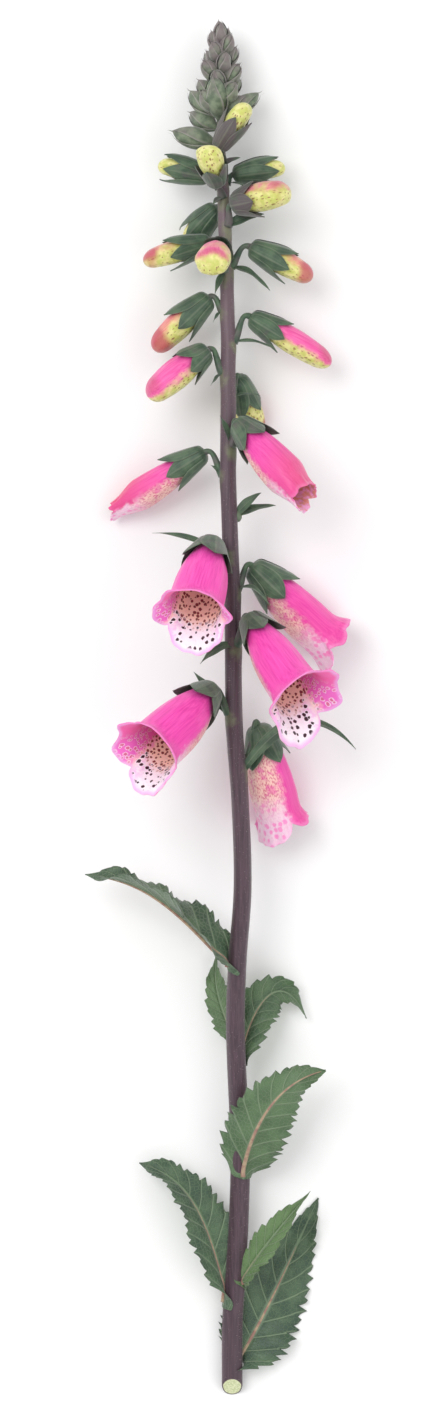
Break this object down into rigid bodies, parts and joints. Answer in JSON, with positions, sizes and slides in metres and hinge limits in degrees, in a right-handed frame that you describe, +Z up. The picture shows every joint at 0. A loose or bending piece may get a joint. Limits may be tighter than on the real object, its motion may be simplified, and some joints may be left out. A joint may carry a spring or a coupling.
{
  "type": "foxglove flower spike",
  "caption": "Cut flower spike lying on its side: drooping open bells, closed buds and a pointed bud head on a long bowed stem, with small leaves under the flowers and toothed leaves below.",
  "frame": {"origin": "on the surface that the spike lies on, under the middle of the spike seen from above", "axes": "+Y along the stem from its cut end to the tip, +Z up from the surface, +X the spike's right-hand side seen from above"},
  "size_m": [0.1122, 0.5702, 0.0755],
  "materials": {
    "stem": "satin",
    "bud_head": "matte",
    "calyx": "satin",
    "leaf": "matte",
    "petal": "satin",
    "bud": "satin",
    "young_bud": "satin",
    "stamens": "matte"
  },
  "bodies": {
    "root": {"stem": "stem", "bud_head": "bud_head", "flower_01_calyx": "calyx", "flower_01_corolla": "young_bud", "flower_02_calyx": "calyx", "flower_02_corolla": "young_bud", "flower_03_calyx": "calyx", "flower_03_corolla": "young_bud", "flower_04_calyx": "calyx", "flower_04_corolla": "young_bud", "flower_05_calyx": "calyx", "flower_05_corolla": "young_bud", "flower_06_calyx": "calyx", "flower_06_corolla": "young_bud", "flower_07_calyx": "calyx", "flower_07_corolla": "bud", "flower_08_calyx": "calyx", "flower_08_corolla": "young_bud", "flower_09_calyx": "calyx", "flower_09_corolla": "bud", "flower_10_calyx": "calyx", "flower_10_corolla": "bud", "flower_11_calyx": "calyx", "flower_11_corolla": "bud", "flower_12_calyx": "calyx", "flower_12_corolla": "bud", "flower_13_calyx": "calyx", "flower_13_corolla": "bud", "flower_14_calyx": "calyx", "flower_14_corolla": "petal", "flower_15_calyx": "calyx", "flower_15_corolla": "petal", "flower_16_calyx": "calyx", "flower_16_corolla": "petal", "flower_17_calyx": "calyx", "flower_17_corolla": "petal", "flower_18_calyx": "calyx", "flower_18_corolla": "petal", "flower_19_calyx": "calyx", "flower_19_corolla": "petal", "flower_20_calyx": "calyx", "flower_20_corolla": "petal", "flower_16_stamens": "stamens", "flower_17_stamens": "stamens", "flower_18_stamens": "stamens", "flower_19_stamens": "stamens", "flower_20_stamens": "stamens", "spare_leaves": "calyx", "leaf_1": "leaf", "leaf_2": "leaf", "leaf_3": "leaf", "leaf_4": "leaf", "leaf_5": "leaf", "leaf_6": "leaf", "leaf_7": "leaf"}
  },
  "joints": []
}
